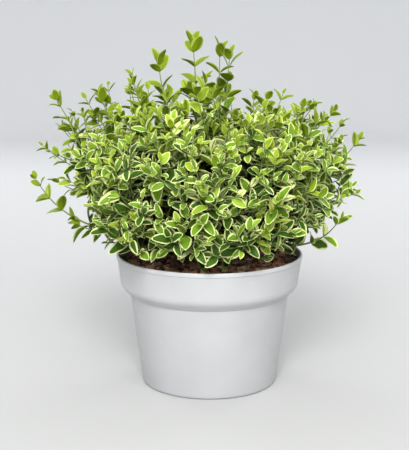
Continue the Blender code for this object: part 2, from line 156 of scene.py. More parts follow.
# The twigs of the solids. A limb's uppermost twig is an upright one.
NODE_SPACING = 0.028
NODE_SPREAD = (0.8, 1.1)
LOWEST_NODE = 0.012
LEAST_TWIG = 0.014
NODE_TURN = 137.5
STANDING_BARE_TOP = by_ring(0.064, 0.050, 0.050, 0.080)
SPREAD_BARE_TOP = 0.034
TWIG_SPREAD = 54
TWIG_LENGTHS = (0.036, 0.068)
UPRIGHT_SPREAD = 24
TWIG_SCATTER = 8
UPRIGHT_LENGTHS = (0.034, 0.046)
TWIG_RISE = 0.45
MASS_CLEARANCE = 0.0012
LIMB_CLEARANCE = 0.0030
POT_CLEARANCE = 0.0030
LOWEST_LEAF = 0.120

# The finer twigs, which only the dressed plant has: first those on each limb's own stem, then side
# twigs on the solids' twigs, and last twigs on the first. Each draws its reach in the dome.
FINE_TOP_SHARE = by_ring(0.42, 0.70, 0.75, 0.80)
FINE_REACH = by_ring((0.78, 0.95), (0.78, 0.95), (0.82, 1.03), (0.83, 1.03))
FINE_SPACING = 0.0095
FINE_LENGTHS = (0.030, 0.074)
FINE_LEAF_SCALE = 0.86
SIDE_SPACING = 0.0105
SIDE_LENGTHS = (0.012, 0.036)
SIDE_LEAF_SCALE = 0.80
TWIG_LEAF_SCALE = 0.94
LAST_SPACING = 0.0200
LAST_LENGTHS = (0.012, 0.034)
SPACING_SPREAD = (0.85, 1.2)
TURN_SCATTER = 0.3
FINE_CLEARANCE = -0.0070
EDGE_ROOM = 0.002
TIP_EXTENSION = by_ring(0.0045, 0.0075, 0.0075, 0.0075)
TWIG_RADIUS = 0.0009
TWIG_TIP_RADIUS = 0.0004
FINE_RADIUS = 0.0006

# How much is bare at the root of a stem, a twig and a finer twig, and at both ends of what bears
# more twigs.
STEM_BARE = 0.006
TWIG_BARE = 0.007
FINE_BARE = 0.005
FINE_ON_STEM = 0.003
SIDE_ENDS = (0.007, 0.010)
LAST_ENDS = (0.009, 0.010)

# The finer twigs that stand upright. On the full left side they reach further out.
UPRIGHT_SHARES = by_ring(0.14, 0.26, 0.24, 0.20)
FINE_UPRIGHT_REACH = by_ring((0.98, 1.34), (0.99, 1.20), (0.99, 1.18), (0.99, 1.18))
TALL_UPRIGHTS = {"crown_left": 1.11, "crown_far_left": 1.08, "wing_left": 1.04}
FINE_UPRIGHT_LENGTHS = (0.045, 0.090)
UPRIGHT_FLOOR = 0.155

# The leaves, in opposite pairs, each pair square to the last.
INNER_LEAF_SCALE = 1.12
CLEAR_LEAF_SCALES = by_ring(0.97, 0.90, 0.88, 0.82)
LEAF_LENGTHS = by_ring(0.0218, 0.0222, 0.0220, 0.0220)
STEM_PAIR_SPACING = by_ring(0.0135, 0.0140, 0.0140, 0.0150)
TWIG_PAIR_SPACING = 0.0105
UPRIGHT_PAIR_SPACINGS = by_ring(0.0135, 0.0120, 0.0115, 0.0115)
UPRIGHT_LEAF_SCALES = by_ring(1.02, 0.84, 0.80, 0.80)
LEAF_SIZES = (0.70, 1.09)
LEAF_WIDTHS = (0.44, 0.62)
LEAF_FOLDS = (0.05, 0.45)
LEAF_ARCHES = (-0.06, 0.24)
ARCH_POWER = 2.2
LEAF_TWISTS = (-0.3, 0.3)
LEAF_ROLL = 34
YOUNG_SCALES = by_ring(
    (0.74, 0.90, 0.98), (0.60, 0.88, 0.98), (0.56, 0.86, 0.96), (0.54, 0.82, 0.94)
)
TIP_LEAF_SPREAD = 26
LEAF_SPREAD = 58
SPREAD_SCATTER = 11
OPENING_PAIRS = 2.0
PAIR_TURN_SCATTER = 0.2
PAIR_SPACING_SPREAD = (0.85, 1.15)
TIP_CROWDING = 0.5
INNER_CROWDING = 0.65
LEAF_THICKNESS = 0.00040
LEAF_ROOM = 0.0043
LOWEST_FINE_LEAF = 0.129
INNER_RIM_RADIUS = 0.081
BOX_OVERHANG = 0.001

# A leaf's outline: share of its length, and share of its greatest width.
LEAF_OUTLINE = (
    (0.0, 0.0),
    (0.07, 0.09),
    (0.15, 0.52),
    (0.27, 0.85),
    (0.43, 1.0),
    (0.60, 0.95),
    (0.78, 0.72),
    (0.92, 0.38),
    (1.0, 0.0),
)
INNER_LEAF_OUTLINE = ((0.0, 0.0), (0.08, 0.10), (0.25, 0.84), (0.48, 1.0), (0.76, 0.66), (1.0, 0.0))
TOOTH = 0.030

# A leaf's age, or its painted shade. Deep in the dome it is an inner leaf, painted dark as
# shade for the crown's shadowed inside, and clear of it a plain olive one, painted darker with
# little cream as the shade of a backlit leaf. In between it is younger near its shoot's tip,
# higher up, and in a young spray.
INNER_SHARE = 0.71
INNER_SHIFT = 0.05
OLIVE_SHARE = 1.03
OLIVE_SHIFT = 0.03
SPRAY_SPREAD = 0.30
SINGLE_SPREAD = 0.12
TIP_YOUTH = 0.55
TIP_PAIRS = 3
HEIGHT_YOUTH = 0.76
YOUTH_FOOT = 0.148
YOUTH_RISE = 0.100
YOUTH_LIMITS = {"old": 0.42, "green": 0.86, "fresh": 1.16}

# The ages of leaf, and the painted shade of inner and olive leaves: the colours of a leaf's
# centre, its cream edge and its back, as linear light.
LEAF_COLOURS = {
    # painted shade: inner leaves darkened all over, edge too, for the crown's shadowed inside
    "inner": ((0.006, 0.014, 0.002), (0.08, 0.10, 0.018), (0.012, 0.022, 0.004)),
    "old": ((0.034, 0.084, 0.007), (0.48, 0.52, 0.22), (0.10, 0.17, 0.014)),
    "green": ((0.116, 0.224, 0.014), (0.57, 0.61, 0.26), (0.135, 0.222, 0.011)),
    "fresh": ((0.222, 0.344, 0.026), (0.58, 0.62, 0.25), (0.195, 0.298, 0.010)),
    "new": ((0.250, 0.352, 0.022), (0.47, 0.55, 0.12), (0.205, 0.288, 0.008)),
    # painted shade: olive leaves darkened, with a dim edge, for a leaf seen backlit
    "olive": ((0.150, 0.212, 0.012), (0.27, 0.35, 0.05), (0.126, 0.180, 0.005)),
}
AGES_AND_SHADES = list(LEAF_COLOURS)

# The parts of a leaf: name, roughness and shine.
LEAF_PARTS = (("leaf", 0.46, 0.09), ("leaf edge", 0.50, 0.10), ("leaf back", 0.62, 0.08))

# How much of a leaf's half width its green centre takes at each age. A few are nearly all cream.
LEAF_BANDS = (0.70, 0.81, 0.82, 0.84, 0.87, 0.90)
BAND_SCATTER = 0.08
BAND_LIMITS = (0.16, 0.90)
CREAM_LEAF_SHARE = 0.07
CREAM_LEAF_BAND = 0.22
TIP_CREAM = 0.25

# How many points one cross-row of a leaf has, above and below.
ROW = 8

# The twigs, from old to young: name, colour and roughness.
TWIG_KINDS = (
    ("grey-green twig", (0.12, 0.12, 0.045), 0.7),
    ("green twig", (0.095, 0.128, 0.034), 0.6),
    ("fresh green shoot", (0.145, 0.200, 0.046), 0.55),
)

# A stem and a twig: steps along it, sides, and the share of its length that is old.
STEM_FORM = (36, 7, 0.45)
TWIG_FORM = (5, 5, 0.30)

# Chips on the compost: name, colour, roughness and share of each kind.
CHIP_KINDS = (
    ("dark bark chip", (0.105, 0.048, 0.027), 0.9, 5),
    ("red bark chip", (0.40, 0.170, 0.085), 0.85, 4),
    ("brown bark chip", (0.30, 0.175, 0.105), 0.9, 4),
    ("pale straw chip", (0.52, 0.41, 0.27), 0.85, 2),
)
CHIP_COUNT = 1500
CHIP_RING_RADIUS = 0.0795
CHIP_LIMIT_RADIUS = 0.0802
CHIP_SIZES = (0.0011, 0.0042)
CHIP_SHAPE = ((0.7, 1.2), (0.35, 0.7), (0.15, 0.35))
FINE_CHIP_SHARE = 0.6
FINE_CHIP_SCALE = 0.8
COARSE_CHIP_SCALE = 1.25
LEAST_CHIP = 0.0007
CHIP_TILT = 0.7
CHIP_BED = 0.0010
CHIP_HEAP = 0.0020

# The crumbled top of the compost.
SOIL_SIDES = 72
SOIL_INSETS = 24
SOIL_INSET = 0.0031
SOIL_INSET_RISE = 0.00005
CRUMB_LIMIT = 0.0012

# The studio, a round room with a coved floor, open above.
STUDIO_RADIUS = 2.4
STUDIO_HEIGHT = 2.6
STUDIO_SIDES = 96
COVE = 0.5
LAMPS_AHEAD = 0.9
# painted shade: the floor is greyer near the lamps' pool of light and paler towards the wall
STUDIO_GREY_REACH = (0.3, 2.2)
STUDIO_FLOOR = (0.352, 0.352, 0.340)
STUDIO_WALL = (0.600, 0.606, 0.614)
SKY_COLOUR = (0.97, 0.98, 1.0, 1.0)
SKY_STRENGTH = 1.15

# The soft lamps: name, place, width and power. All point at the middle of the plant and its pot.
LAMPS = (
    ("key", (-0.06, -1.35, 1.10), 0.6, 34.0),
    ("left", (-1.1, -1.5, 0.80), 0.8, 8.0),
    ("right", (1.1, -1.5, 0.80), 0.8, 9.5),
    ("far left", (-1.1, 1.2, 1.00), 0.8, 7.0),
    ("far right", (1.1, 1.2, 1.00), 0.8, 7.0),
)
LAMP_AIM_HEIGHT = 0.16

# The photographer's place: lens, height, distance and tilt.
PHOTO_LENS = 90.1
CAMERA_HEIGHT = 0.345
CAMERA_DISTANCE = 1.008
CAMERA_SIDE = -0.0045
CAMERA_TILT = 11.2


class Wire:
    """One socket of a finish, on which sums are written as plain arithmetic."""

    def __init__(self, finish, socket):
        self.finish = finish
        self.socket = socket

    def sum(self, operation, first, second):
        node = self.finish.node("ShaderNodeMath", {"operation": operation}, {0: first, 1: second})
        return Wire(self.finish, node.outputs[0])

    def __add__(self, other):
        return self.sum("ADD", self, other)

    def __mul__(self, other):
        return self.sum("MULTIPLY", self, other)


class Finish:
    """A surface finish: a Principled shader with plain values, and what is wired to it."""

    def __init__(self, name, colour, roughness, **values):
        self.material = bpy.data.materials.new(name)
        self.material.use_nodes = True
        self.tree = self.material.node_tree
        self.shader = self.tree.nodes["Principled BSDF"]
        self.shader.inputs["Base Color"].default_value = (*colour, 1.0)
        self.shader.inputs["Roughness"].default_value = roughness
        for socket, value in values.items():
            self.shader.inputs[socket.replace("_", " ")].default_value = value
        self.material.diffuse_color = (*colour, 1.0)

    def node(self, kind, settings=None, inputs=None):
        made = self.tree.nodes.new(kind)
        for key, value in (settings or {}).items():
            setattr(made, key, value)
        for key, value in (inputs or {}).items():
            if isinstance(value, Wire):
                self.tree.links.new(value.socket, made.inputs[key])
            else:
                made.inputs[key].default_value = value
        return made

    def place(self, scale=(1.0, 1.0, 1.0)):
        """Where a point lies on the object, drawn out along an axis if wanted."""
        where = Wire(self, self.node("ShaderNodeTexCoord").outputs["Object"])
        mapped = self.node("ShaderNodeMapping", {}, {"Vector": where, "Scale": scale})
        return Wire(self, mapped.outputs[0])

    def mottle(self, place, scale, detail, roughness=0.5):
        settings = {"Vector": place, "Scale": scale, "Detail": detail, "Roughness": roughness}
        return Wire(self, self.node("ShaderNodeTexNoise", {}, settings).outputs["Fac"])

    def ramp(self, amount, stops):
        """Colours for an amount, as (place, colour) in order."""
        made = self.node("ShaderNodeValToRGB", {}, {"Fac": amount})
        elements = made.color_ramp.elements
        for place, _ in stops[:-2]:
            elements.new(place)
        for element, (place, colour) in zip(elements, stops):
            element.position = place
            element.color = (*colour, 1.0)
        return Wire(self, made.outputs["Color"])

    def between(self, amount, low, high, from_low, from_high):
        """An amount carried from one range to another, held at its ends."""
        source = {"Value": amount, "From Min": from_low, "From Max": from_high}
        source |= {"To Min": low, "To Max": high}
        made = self.node("ShaderNodeMapRange", {"clamp": True}, source)
        return Wire(self, made.outputs["Result"])

    def wear(self, socket, wire):
        self.tree.links.new(wire.socket, self.shader.inputs[socket])

    def relief(self, height, strength, depth):
        inputs = {"Height": height, "Strength": strength, "Distance": depth}
        self.wear("Normal", Wire(self, self.node("ShaderNodeBump", {}, inputs).outputs["Normal"]))


def pot_plastic():
    finish = Finish("pale grey plastic", (0.418, 0.423, 0.432), 0.42, Specular_IOR_Level=0.38)
    place = finish.place()
    cloudy = finish.mottle(place, 28.0, 3.0)
    greys = [(0.30, (0.402, 0.407, 0.417)), (0.70, (0.437, 0.442, 0.451))]
    finish.wear("Base Color", finish.ramp(cloudy, greys))
    grain = finish.mottle(place, 900.0, 2.0)
    scuffs = finish.mottle(finish.place((1.0, 1.0, 6.0)), 60.0, 5.0, 0.6)
    finish.wear("Roughness", finish.between(scuffs, 0.34, 0.52, 0.35, 0.70) + grain * 0.05)
    finish.relief(grain, 0.10, 0.0002)
    return finish.material


def studio_white():
    """A matt white, with painted shade: greyer under the lamps, where most of the light falls."""
    finish = Finish("studio white", (0.55, 0.56, 0.57), 0.9, Specular_IOR_Level=0.1)
    moved = {"Vector": finish.place(), "Location": (0, LAMPS_AHEAD, 0)}
    place = Wire(finish, finish.node("ShaderNodeMapping", {}, moved).outputs[0])
    measured = finish.node("ShaderNodeVectorMath", {"operation": "LENGTH"}, {"Vector": place})
    away = finish.between(Wire(finish, measured.outputs["Value"]), 0.0, 1.0, *STUDIO_GREY_REACH)
    # painted shade: grey where the lamps' light falls, paler away from it
    finish.wear("Base Color", finish.ramp(away, [(0.0, STUDIO_FLOOR), (1.0, STUDIO_WALL)]))
    return finish.material


def compost():
    finish = Finish("damp compost", (0.10, 0.06, 0.035), 0.95, Specular_IOR_Level=0.2)
    crumbs = finish.mottle(finish.place(), 420.0, 6.0, 0.7)
    browns = [(0.32, (0.04, 0.021, 0.012)), (0.52, (0.145, 0.08, 0.045)), (0.72, (0.3, 0.18, 0.105))]
    finish.wear("Base Color", finish.ramp(crumbs, browns))
    finish.relief(crumbs, 0.9, 0.0012)
    return finish.material


def bark():
    finish = Finish("grey-green bark", (0.16, 0.16, 0.09), 0.8, Specular_IOR_Level=0.3)
    streaks = finish.mottle(finish.place((1.0, 1.0, 0.35)), 700.0, 5.0, 0.65)
    patches = finish.mottle(finish.place(), 90.0, 3.0)
    tints = [(0.34, (0.055, 0.050, 0.030)), (0.52, (0.15, 0.15, 0.085)), (0.70, (0.27, 0.27, 0.17))]
    finish.wear("Base Color", finish.ramp(streaks * 0.6 + patches * 0.4, tints))
    finish.relief(streaks, 0.6, 0.0004)
    return finish.material


def plain(name, colour, roughness, **values):
    return Finish(name, colour, roughness, **values).material


def round_axis(radius, angle, height=0.0):
    return radius * cos(angle), radius * sin(angle), height


def cubic(knots, t):
    a, b, c, d = knots
    u = 1 - t
    return a * u**3 + b * 3 * u * u * t + c * 3 * u * t * t + d * t**3


def lengths_along(path):
    """How far along the path each of its points lies."""
    return list(accumulate(((b - a).length for a, b in zip(path, path[1:])), initial=0.0))


def point_at(path, along, distance):
    """The point at this distance along the path, and the path's direction there."""
    for k in range(len(path) - 1):
        if along[k + 1] >= distance or k == len(path) - 2:
            step = path[k + 1] - path[k]
            share = (distance - along[k]) / (along[k + 1] - along[k])
            return path[k] + step * share, step.normalized()


def stretch(path, start, end, count):
    """Points at even distances along part of the path."""
    along = lengths_along(path)
    return [point_at(path, along, start + (end - start) * k / count)[0] for k in range(count + 1)]


def square_to(direction, hint):
    """The unit vector nearest the hint that is square to the direction."""
    side = hint - direction * hint.dot(direction)
    if side.length < 1e-6:
        side = direction.orthogonal()
    return side.normalized()


def leader_tips():
    """Each limb's name, ring and tip, the standing ones first."""
    tips = [(name, name.split("_")[0], Vector(tip)) for name, tip in STANDING_TIPS.items()]
    for name, (ring, radius, height, bearings) in SPREAD_TIPS.items():
        for number, bearing in enumerate(bearings, 1):
            chance = random.Random(f"{name}_{number}")
            angle = radians(bearing)
            tip = Vector(round_axis(radius, angle, height))
            tip += Vector([chance.uniform(-1, 1) for _ in range(3)]) * TIP_SCATTER
            tips.append((f"{name}_{number}", ring, tip))
    return tips


def root_bearings(tips):
    """Where round the foot each limb starts: evenly in its ring, in the order of the tips."""
    starts = {}
    for ring in RING_ELEVATION:
        members = sorted((atan2(tip.y, tip.x), name) for name, its, tip in tips if its == ring)
        step = 2 * pi / len(members)
        turn = sum(bearing - k * step for k, (bearing, _) in enumerate(members)) / len(members)
        for k, (_, name) in enumerate(members):
            starts[name] = turn + k * step
    return starts


def limb_path(name, ring, start_bearing, tip):
    """Points of one limb from the foot's head to its tip, on one cubic curve."""
    rise = radians(RING_ELEVATION[ring])
    out = Vector(round_axis(cos(rise), start_bearing, sin(rise)))
    root = Vector((0, 0, FOOT_HEAD_HEIGHT)) + out * (FOOT_HEAD_RADIUS + GAP)
    heading = (out + Vector((0, 0, HEADING_LIFT[ring]))).normalized()
    outward = Vector((tip.x, tip.y, 0)).normalized()
    ending = (outward * STEEP_TIPS.get(name, TIP_LEAN[ring]) + Vector((0, 0, 1))).normalized()
    end = tip - ending * TIP_LEAF_REACH
    reach = (end - root).length
    knots = (root, root + heading * reach * OUTWARD_PULL, end - ending * reach * UPWARD_PULL, end)
    return [cubic(knots, step / PATH_STEPS) for step in range(PATH_STEPS + 1)]


def bare_top(name, ring):
    """How much of a limb's top has leaves but no twigs."""
    return STANDING_BARE_TOP[ring] if name in STANDING_TIPS else SPREAD_BARE_TOP


def dome_share(point):
    """How far out in the dome a point lies: 0 in the middle of the pot's rim, 1 on the dome."""
    widened = min(1.0, max(0.0, point.z - POT_HEIGHT) / (DOME_FULL_HEIGHT - POT_HEIGHT))
    full = DOME_FOOT_RADIUS + (DOME_RADIUS - DOME_FOOT_RADIUS) * widened
    out = hypot(point.x, point.y) / full
    up = max(0.0, point.z - POT_HEIGHT) / DOME_RISE
    return (out**DOME_POWER + up**DOME_POWER) ** (1 / DOME_POWER)


def twig_path(point, direction, turn, spread, length, chance):
    """A side twig that leaves its stem at an angle and bends up towards the light."""
    first = square_to(direction, Vector((0.21, 0.33, 0.9)))
    second = direction.cross(first)
    side = first * cos(turn) + second * sin(turn)
    angle = radians(spread + chance.uniform(-TWIG_SCATTER, TWIG_SCATTER))
    heading = (direction * cos(angle) + side * sin(angle)).normalized()
    ending = (heading + Vector((0, 0, TWIG_RISE * 2))).normalized()
    knots = (
        point,
        point + heading * length * 0.35,
        point + heading * length * 0.55 + ending * length * 0.12,
        point + heading * length * 0.60 + ending * length * 0.42,
    )
    return [cubic(knots, step / 6) for step in range(7)]


def clear_of_pot(point):
    radius = hypot(point.x, point.y)
    if radius < RIM_RADIUS + POT_CLEARANCE:
        low = POT_HEIGHT if radius > RIM_RADIUS - 0.012 else SOIL_HEIGHT
        return point.z > low + POT_CLEARANCE
    return point.z > LOWEST_LEAF


class Crown:
    """All the limbs, and what part of the space round them each mass keeps to."""

    def __init__(self):
        tips = leader_tips()
        starts = root_bearings(tips)
        self.limbs = {}
        for name, ring, tip in tips:
            path = limb_path(name, ring, starts[name], tip)
            self.limbs[name] = {"ring": ring, "path": path, "length": lengths_along(path)[-1]}
        self.names = list(self.limbs)
        limbs = list(self.limbs.values())
        axes = [stretch(limb["path"], 0.0, limb["length"], PATH_STEPS) for limb in limbs]
        self.axis_points = np.array([tuple(p) for axis in axes for p in axis])
        self.axis_owner = np.repeat(np.arange(len(axes)), PATH_STEPS + 1)
        boughs = [stretch(limb["path"], 0.0, BOUGH_LENGTH[limb["ring"]], 10) for limb in limbs]
        self.bough_points = np.array([tuple(p) for bough in boughs for p in bough])

    def keeps(self, name, point, clearance):
        """True if the point lies in this mass's own space, clear of limbs and pot."""
        spot = np.array(tuple(point))
        away = np.linalg.norm(spot - self.axis_points, axis=1)
        own = self.axis_owner == self.names.index(name)
        if away[~own].min() - away[own].min() < 2 * clearance:
            return False
        from_boughs = np.linalg.norm(spot - self.bough_points, axis=1).min()
        return from_boughs >= BOUGH_RADIUS["crest"] + LIMB_CLEARANCE and clear_of_pot(point)


def trimmed(path, crown, name, reach, clearance=MASS_CLEARANCE):
    """The part of a twig's path that stays in its mass's own space, within its reach."""

    def stays(point):
        return dome_share(point) <= reach and crown.keeps(name, point, clearance)

    return [path[0], *takewhile(stays, path[1:])]


def source_twigs(crown, name):
    """The twigs that the solid mass has, by the same draws, and where on the limb each starts."""
    limb = crown.limbs[name]
    ring, path, length = limb["ring"], limb["path"], limb["length"]
    chance = random.Random(name)
    start = BOUGH_LENGTH[ring] + GAP
    along = lengths_along(path)
    twigs = []
    distance, turn = length - bare_top(name, ring), chance.uniform(0, pi)
    while distance > start + LOWEST_NODE:
        point, direction = point_at(path, along, distance)
        upright = (UPRIGHT_SPREAD, UPRIGHT_LENGTHS, UPRIGHT_REACH)
        spread, lengths, reach = (TWIG_SPREAD, TWIG_LENGTHS, TWIG_REACH) if twigs else upright
        for _ in range(3):
            wanted = chance.uniform(*lengths)
            grown = twig_path(point, direction, turn, spread, wanted, chance)
            twig = trimmed(grown, crown, name, reach)
            turn += radians(NODE_TURN)
            if lengths_along(twig)[-1] > LEAST_TWIG:
                twigs.append((twig, distance))
                break
        distance -= NODE_SPACING * chance.uniform(*NODE_SPREAD)
    return twigs


def shoot_of(path, radius, bare, spacing, scale, parent=None, start=0.0):
    """A shoot, with where its leaves start, their spacing, and where it leaves its parent."""
    leafing = {"bare": bare, "spacing": spacing, "scale": scale}
    place = {"parent": parent, "start": start, "needed": 0.0}
    return {"path": path, "radii": (radius, TWIG_TIP_RADIUS), **leafing, **place}


def in_box(point, room=EDGE_ROOM):
    """True if a point lies in the solids' own box, with this much room on every side."""
    low, high = CAD_BOX
    return all(low[k] + room < point[k] < high[k] - room for k in range(3))


def finer_shoots(crown, name, parent, ends, spacing, lengths, scale, chance):
    """Opposite pairs of finer shoots along a stem or twig, each pair square to the one before."""
    path = parent["path"]
    ring = crown.limbs[name]["ring"]
    along = lengths_along(path)
    shoots = []
    first, last = ends
    distance, turn = along[-1] - last, chance.uniform(0, pi)
    while distance > first:
        point, direction = point_at(path, along, distance)
        for side in (0, pi):
            upright = chance.random() < UPRIGHT_SHARES[ring] and point.z > UPRIGHT_FLOOR
            spread = UPRIGHT_SPREAD if upright else TWIG_SPREAD
            wanted = chance.uniform(*(FINE_UPRIGHT_LENGTHS if upright else lengths))
            reach = chance.uniform(*(FINE_UPRIGHT_REACH if upright else FINE_REACH)[ring])
            if upright:
                reach *= TALL_UPRIGHTS.get(name, 1.0)
            way = turn + side + chance.uniform(-TURN_SCATTER, TURN_SCATTER)
            grown = twig_path(point, direction, way, spread, wanted, chance)
            twig = list(takewhile(in_box, trimmed(grown, crown, name, reach, FINE_CLEARANCE)))
            pairs = UPRIGHT_PAIR_SPACINGS[ring] if upright else TWIG_PAIR_SPACING
            size = scale * (UPRIGHT_LEAF_SCALES[ring] if upright else 1.0)
            if len(twig) > 3:
                shoots.append(shoot_of(twig, FINE_RADIUS, FINE_BARE, pairs, size, parent, distance))
        distance -= spacing * chance.uniform(*SPACING_SPREAD)
        turn += pi / 2
    return shoots


def shoots_of(crown, name):
    """Every shoot of one mass: its stem, the twigs of its solid, and three orders of finer ones."""
    limb = crown.limbs[name]
    ring = limb["ring"]
    chance = random.Random(f"{name} finer")
    line = stretch(limb["path"], BOUGH_LENGTH[ring], limb["length"], 40)
    line.append(line[-1] + (line[-1] - line[-2]).normalized() * TIP_EXTENSION[ring])
    thick = BOUGH_RADIUS[ring] * BOUGH_TAPER * 0.95
    stem = shoot_of(line, thick, STEM_BARE, STEM_PAIR_SPACING[ring], 1.0)
    shoots = [stem]
    ends = (FINE_ON_STEM, FINE_TOP_SHARE[ring] * bare_top(name, ring))
    first = (ends, FINE_SPACING, FINE_LENGTHS, FINE_LEAF_SCALE, chance)
    side = (SIDE_ENDS, SIDE_SPACING, SIDE_LENGTHS, SIDE_LEAF_SCALE, chance)
    last = (LAST_ENDS, LAST_SPACING, LAST_LENGTHS, SIDE_LEAF_SCALE, chance)
    fine = finer_shoots(crown, name, stem, *first)
    for path, start in source_twigs(crown, name):
        kind = (TWIG_RADIUS, TWIG_BARE, TWIG_PAIR_SPACING, TWIG_LEAF_SCALE)
        twig = shoot_of(path, *kind, stem, start - BOUGH_LENGTH[ring])
        shoots += [twig, *finer_shoots(crown, name, twig, *side)]
    for twig in fine:
        shoots += [twig, *finer_shoots(crown, name, twig, *last)]
    return shoots


def age_or_shade_of(point, number, spray):
    """A leaf's age by its place on its shoot, or painted shade deep in or clear of the dome."""
    share = dome_share(point)
    # painted shade: leaves clear of the dome take the darkened olive colours
    if share > OLIVE_SHARE + OLIVE_SHIFT * spray:
        return "olive"
    # painted shade: leaves deep in the dome take the darkened inner colours
    if share < INNER_SHARE + INNER_SHIFT * spray:
        return "inner"
    youth = TIP_YOUTH * max(0.0, 1 - number / TIP_PAIRS)
    youth = youth + HEIGHT_YOUTH * (point.z - YOUTH_FOOT) / YOUTH_RISE + spray
    return next((age for age, limit in YOUTH_LIMITS.items() if youth < limit), "new")


def leaves_of(shoot, ring, chance):
    """The leaves of one shoot, in pairs from its tip down, each with its age."""
    path = shoot["path"]
    along = lengths_along(path)
    young_scales = YOUNG_SCALES[ring]
    other_scales = {"inner": INNER_LEAF_SCALE, "olive": CLEAR_LEAF_SCALES[ring]}
    spray = chance.gauss(0.0, SPRAY_SPREAD)
    turn = chance.uniform(0, pi)
    distance, number = along[-1] - 0.0008, 0
    leaves = []
    while distance > shoot["bare"] or number == 0:
        point, direction = point_at(path, along, distance)
        young = young_scales[number] if number < len(young_scales) else 1.0
        opening = min(1.0, number / OPENING_PAIRS)
        spread = TIP_LEAF_SPREAD + (LEAF_SPREAD - TIP_LEAF_SPREAD) * opening
        outward = (point - Vector((0, 0, POT_HEIGHT))).normalized()
        light = direction * 0.5 + outward * 0.3 + Vector((0, 0, 0.35))
        first = square_to(direction, Vector((cos(turn), sin(turn), 0.21)))
        second = direction.cross(first)
        angle = turn + number * pi / 2 + chance.uniform(-PAIR_TURN_SCATTER, PAIR_TURN_SCATTER)
        side = first * cos(angle) + second * sin(angle)
        for away in (side, -side):
            lean = radians(spread + chance.uniform(-SPREAD_SCATTER, SPREAD_SCATTER))
            pointing = (direction * cos(lean) + away * sin(lean)).normalized()
            rolled = radians(chance.uniform(-LEAF_ROLL, LEAF_ROLL))
            facing = Matrix.Rotation(rolled, 3, pointing) @ square_to(pointing, light)
            size = LEAF_LENGTHS[ring] * shoot["scale"] * young * chance.uniform(*LEAF_SIZES)
            age = age_or_shade_of(point, number, spray + chance.gauss(0.0, SINGLE_SPREAD))
            size *= other_scales.get(age, 1.0)
            lie = {"root": point, "pointing": pointing, "normal": facing, "length": size}
            leaves.append({**lie, "age": age, "ring": ring, "shoot": shoot, "along": distance})
        crowding = TIP_CROWDING if number == 0 else chance.uniform(*PAIR_SPACING_SPREAD)
        inward = INNER_CROWDING if dome_share(point) < INNER_SHARE else 1.0
        distance -= shoot["spacing"] * crowding * inward
        number += 1
    return leaves


def hangs_low(point):
    """True for a place under the foliage's lower edge, outside the pot's rim."""
    return point.z < LOWEST_FINE_LEAF and hypot(point.x, point.y) > INNER_RIM_RADIUS


def with_room(leaves):
    """The leaves that are clear of the pot and have room among those kept before them."""
    taken = {}
    kept = []
    for leaf in leaves:
        middle = leaf["root"] + leaf["pointing"] * leaf["length"] * 0.55
        tip = leaf["root"] + leaf["pointing"] * leaf["length"]
        if any(hangs_low(point) or not clear_of_pot(point) for point in (middle, tip)):
            continue
        if not in_box(tip, -BOX_OVERHANG):
            continue
        cell = tuple(floor(c / LEAF_ROOM) for c in middle)
        cells = product(*[(c - 1, c, c + 1) for c in cell])
        near = [other for beside in cells for other in taken.get(beside, ())]
        if any((middle - other).length < LEAF_ROOM for other in near):
            continue
        taken.setdefault(cell, []).append(middle)
        kept.append(leaf)
    return kept


def cut_back(shoots, leaves):
    """Cuts every shoot back to the last leaf or twig that it still carries."""
    for leaf in leaves:
        leaf["shoot"]["needed"] = max(leaf["shoot"]["needed"], leaf["along"])
    for shoot in reversed(shoots):
        if shoot["parent"] and shoot["needed"] > 0:
            shoot["parent"]["needed"] = max(shoot["parent"]["needed"], shoot["start"])


def mesh_piece(name, vertices, faces, finishes, face_finish=None):
    """One piece from arrays, at the origin, with a finish for each face."""
    mesh = bpy.data.meshes.new(name)
    mesh.from_pydata(vertices, [], faces)
    for finish in finishes:
        mesh.materials.append(finish)
    if face_finish is not None:
        mesh.polygons.foreach_set("material_index", face_finish)
    mesh.update()
    piece = bpy.data.objects.new(name, mesh)
    bpy.context.scene.collection.objects.link(piece)
    return piece


def leaf_faces(outline):
    """The faces of one leaf, and the part each belongs to: 0 its centre, 1 its edge, 2 its back."""
    root, tip = 0, 1
    rows = [[2 + ROW * k + n for n in range(ROW)] for k in range(len(outline) - 2)]
    strips = [(n, (n + 1) % ROW, part) for n, part in enumerate((1, 0, 0, 1, 1, 2, 2, 1))]
    faces, parts = [], []
    for number, (low, high) in enumerate(zip(rows, rows[1:])):
        for a, b, part in strips:
            faces.append((low[a], low[b], high[b], high[a]))
            parts.append((0 if a < 4 else 2) if number == 0 else part)
    for a, b, part in strips:
        faces.append((root, rows[0][b], rows[0][a]))
        parts.append(0 if a < 4 else 2)
        faces.append((tip, rows[-1][a], rows[-1][b]))
        parts.append(1)
    return faces, parts


